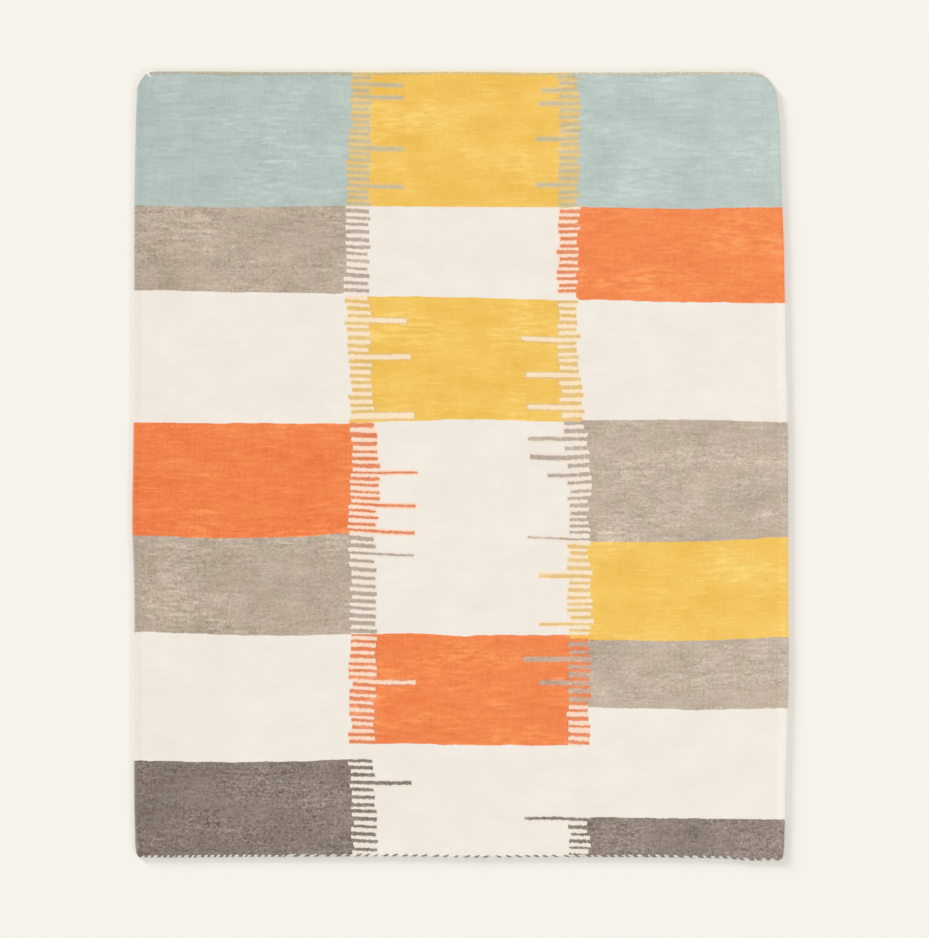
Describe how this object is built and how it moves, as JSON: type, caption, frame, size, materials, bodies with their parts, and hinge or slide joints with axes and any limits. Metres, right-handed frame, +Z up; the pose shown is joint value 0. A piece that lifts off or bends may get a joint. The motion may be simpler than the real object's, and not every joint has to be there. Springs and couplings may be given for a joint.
{
  "type": "berber kilim",
  "caption": "Flat-woven wool rug in plain colour blocks with comb joins, corded selvedges and oversewn ends, lying flat on the floor.",
  "frame": {"origin": "on the floor, under the middle of the kilim's outline", "axes": "+X across the cloth towards the right selvedge, +Y along the warps towards the end with the blue blocks, +Z up from the floor"},
  "size_m": [1.4078, 1.6894, 0.0051],
  "materials": {
    "woven_wool": "matte handspun wool, weft-faced tapestry weave in blocks of cream, mustard, orange, pale blue, taupe and dark taupe",
    "end_yarn_top": "matte wool yarn, slanted oversewing in mauve-grey and yellow-cream strands",
    "end_yarn_bottom": "matte wool yarn, slanted oversewing in dark taupe and cream strands"
  },
  "bodies": {
    "root": {"cloth": "woven_wool", "end_stitches_top": "end_yarn_top", "end_stitches_bottom": "end_yarn_bottom"}
  },
  "joints": []
}
